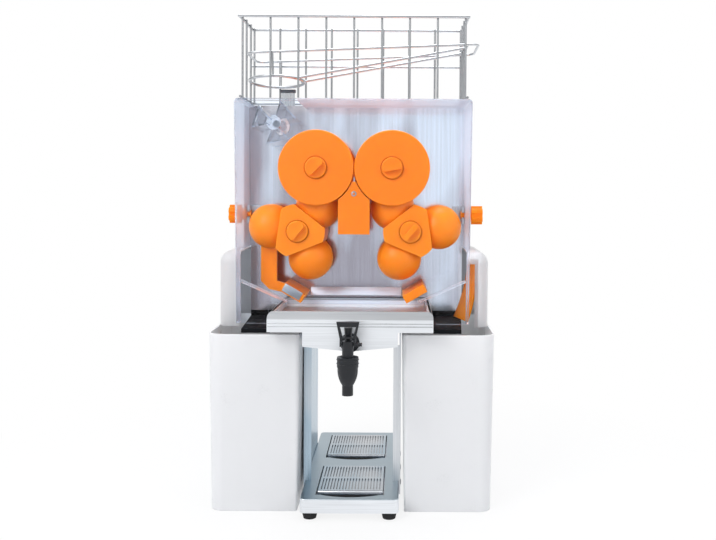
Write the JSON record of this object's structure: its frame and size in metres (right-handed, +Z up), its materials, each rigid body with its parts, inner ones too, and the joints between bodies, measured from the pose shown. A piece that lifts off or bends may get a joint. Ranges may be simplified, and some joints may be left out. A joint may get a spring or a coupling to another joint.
{
  "type": "automatic orange juicer",
  "caption": "Countertop orange juicer with wire feed basket, gear-driven cup drums and ball rotors behind a clear cover, juice tank with tap, and side peel bins.",
  "frame": {"origin": "centre of the footprint on the counter", "axes": "+Z up, the front with the tap faces -Y, +X to the right seen from the front"},
  "size_m": [0.458, 0.433, 0.797],
  "materials": {
    "brushed_steel": "satin brushed stainless sheet",
    "polished_steel": "polished stainless sheet",
    "bright_wire": "bright plated wire",
    "shaft_steel": "ground steel",
    "orange_plastic": "moulded food plastic, satin gloss",
    "clear_plastic": "clear polycarbonate",
    "white_plastic": "gloss white",
    "grey_plastic": "pale grey, fine matte",
    "black_plastic": "black, fine matte",
    "rubber": "matte",
    "plate_aluminium": "milled",
    "motor_paint": "dark grey paint"
  },
  "bodies": {
    "frame": {"base_plate": "brushed_steel", "base_pan": "brushed_steel", "rubber_feet": "rubber", "side_columns": "brushed_steel", "deck_plate": "brushed_steel", "rear_housing": "brushed_steel", "back_plate": "polished_steel", "splash_apron": "black_plastic", "shaft_seals": "rubber", "front_bearing_plate": "plate_aluminium", "rear_bearing_plate": "plate_aluminium", "shaft_bearings": "shaft_steel", "plate_spacers": "shaft_steel", "gear_motor": "motor_paint", "knife_block": "orange_plastic", "knife_blade": "polished_steel", "peel_strippers": "orange_plastic", "cover_lugs": "brushed_steel", "left_peel_chute": "grey_plastic", "right_peel_chute": "grey_plastic", "right_peel_guide": "orange_plastic", "power_inlet": "black_plastic", "basket_clips": "black_plastic", "ramp_post": "grey_plastic"},
    "left_drum": {"left_cup_drum": "orange_plastic", "left_drum_shaft": "shaft_steel"},
    "right_drum": {"right_cup_drum": "orange_plastic", "right_drum_shaft": "shaft_steel"},
    "left_rotor": {"left_rotor_hub": "orange_plastic", "left_press_balls": "orange_plastic", "left_rotor_shaft": "shaft_steel"},
    "right_rotor": {"right_rotor_hub": "orange_plastic", "right_press_balls": "orange_plastic", "right_rotor_shaft": "shaft_steel"},
    "feeder": {"feed_wheel": "clear_plastic", "feed_shaft": "shaft_steel"},
    "idler": {"feed_idler": "shaft_steel"},
    "pinion": {"drive_pinion": "shaft_steel"},
    "left_drum_knob": {"left_drum_knob": "orange_plastic"},
    "right_drum_knob": {"right_drum_knob": "orange_plastic"},
    "left_rotor_knob": {"left_rotor_knob": "orange_plastic"},
    "right_rotor_knob": {"right_rotor_knob": "orange_plastic"},
    "cover": {"front_cover": "clear_plastic"},
    "left_cover_knob": {"left_cover_knob": "orange_plastic"},
    "right_cover_knob": {"right_cover_knob": "orange_plastic"},
    "tank": {"juice_tank": "polished_steel", "juice_filter": "brushed_steel", "tap_body": "black_plastic", "tap_nut": "black_plastic"},
    "tap_lever": {"tap_lever": "black_plastic"},
    "left_bin": {"left_peel_bin": "white_plastic"},
    "right_bin": {"right_peel_bin": "white_plastic"},
    "front_grid": {"front_drip_grid": "brushed_steel"},
    "rear_grid": {"rear_drip_grid": "brushed_steel"},
    "basket": {"basket_front_panel": "bright_wire", "basket_back_panel": "bright_wire", "basket_left_side": "bright_wire", "basket_right_side": "bright_wire", "feed_rack": "bright_wire"},
    "power_rocker": {"power_rocker": "black_plastic"}
  },
  "joints": [
    {"name": "left_drum_turn", "type": "hinge", "parent": "frame", "child": "left_drum", "pos_m": [-0.063, -0.006, 0.549], "axis": [0, 1, 0], "continuous": true},
    {"name": "right_drum_turn", "type": "hinge", "parent": "frame", "child": "right_drum", "pos_m": [0.063, -0.006, 0.549], "axis": [0, 1, 0], "continuous": true},
    {"name": "left_rotor_turn", "type": "hinge", "parent": "frame", "child": "left_rotor", "pos_m": [-0.09394, -0.006, 0.44318], "axis": [0, 1, 0], "continuous": true},
    {"name": "right_rotor_turn", "type": "hinge", "parent": "frame", "child": "right_rotor", "pos_m": [0.09394, -0.006, 0.44318], "axis": [0, 1, 0], "continuous": true},
    {"name": "feeder_turn", "type": "hinge", "parent": "frame", "child": "feeder", "pos_m": [-0.1339, -0.006, 0.62371], "axis": [0, 1, 0], "continuous": true},
    {"name": "idler_turn", "type": "hinge", "parent": "frame", "child": "idler", "pos_m": [-0.10155, -0.006, 0.58962], "axis": [0, 1, 0], "continuous": true},
    {"name": "pinion_turn", "type": "hinge", "parent": "frame", "child": "pinion", "pos_m": [0.13539, -0.006, 0.60974], "axis": [0, 1, 0], "continuous": true},
    {"name": "left_drum_knob_turn", "type": "hinge", "parent": "left_drum", "child": "left_drum_knob", "pos_m": [-0.063, -0.006, 0.549], "axis": [0, 1, 0], "range_deg": [0, 90]},
    {"name": "right_drum_knob_turn", "type": "hinge", "parent": "right_drum", "child": "right_drum_knob", "pos_m": [0.063, -0.006, 0.549], "axis": [0, 1, 0], "range_deg": [0, 90]},
    {"name": "left_rotor_knob_turn", "type": "hinge", "parent": "left_rotor", "child": "left_rotor_knob", "pos_m": [-0.09394, -0.006, 0.44318], "axis": [0, 1, 0], "range_deg": [0, 90]},
    {"name": "right_rotor_knob_turn", "type": "hinge", "parent": "right_rotor", "child": "right_rotor_knob", "pos_m": [0.09394, -0.006, 0.44318], "axis": [0, 1, 0], "range_deg": [0, 90]},
    {"name": "cover_slide", "type": "slide", "parent": "frame", "child": "cover", "axis": [0, -1, 0], "range_m": [0, 0.16]},
    {"name": "left_cover_knob_turn", "type": "hinge", "parent": "cover", "child": "left_cover_knob", "pos_m": [-0.2, 0.0215, 0.47], "axis": [-1, 0, 0], "range_deg": [0, 360]},
    {"name": "right_cover_knob_turn", "type": "hinge", "parent": "cover", "child": "right_cover_knob", "pos_m": [0.2, 0.0215, 0.47], "axis": [1, 0, 0], "range_deg": [0, 360]},
    {"name": "tank_slide", "type": "slide", "parent": "frame", "child": "tank", "axis": [0, -1, 0], "range_m": [0, 0.18]},
    {"name": "tap_lever_pull", "type": "hinge", "parent": "tank", "child": "tap_lever", "pos_m": [0, -0.2005, 0.2833], "axis": [1, 0, 0], "range_deg": [0, 25], "stiffness_Nm_per_rad": 0.4, "springref_deg": -5.73},
    {"name": "left_bin_slide", "type": "slide", "parent": "frame", "child": "left_bin", "axis": [0, -1, 0], "range_m": [0, 0.3]},
    {"name": "right_bin_slide", "type": "slide", "parent": "frame", "child": "right_bin", "axis": [0, -1, 0], "range_m": [0, 0.3]},
    {"name": "front_grid_lift", "type": "slide", "parent": "frame", "child": "front_grid", "axis": [0, 0, 1], "range_m": [0, 0.03]},
    {"name": "rear_grid_lift", "type": "slide", "parent": "frame", "child": "rear_grid", "axis": [0, 0, 1], "range_m": [0, 0.03]},
    {"name": "basket_lift", "type": "slide", "parent": "frame", "child": "basket", "axis": [0, 0, 1], "range_m": [0, 0.12]},
    {"name": "power_rocker_tilt", "type": "hinge", "parent": "frame", "child": "power_rocker", "pos_m": [0.11, 0.1925, 0.354], "axis": [1, 0, 0], "range_deg": [0, 12]}
  ],
  "couplings": [
    {"joint": "right_drum_turn", "follows": "left_drum_turn", "ratio": -1},
    {"joint": "left_rotor_turn", "follows": "left_drum_turn", "ratio": -1.3333},
    {"joint": "right_rotor_turn", "follows": "left_drum_turn", "ratio": 1.3333},
    {"joint": "feeder_turn", "follows": "left_drum_turn", "ratio": 1.3333},
    {"joint": "idler_turn", "follows": "left_drum_turn", "ratio": -1.8},
    {"joint": "pinion_turn", "follows": "left_drum_turn", "ratio": 2}
  ]
}
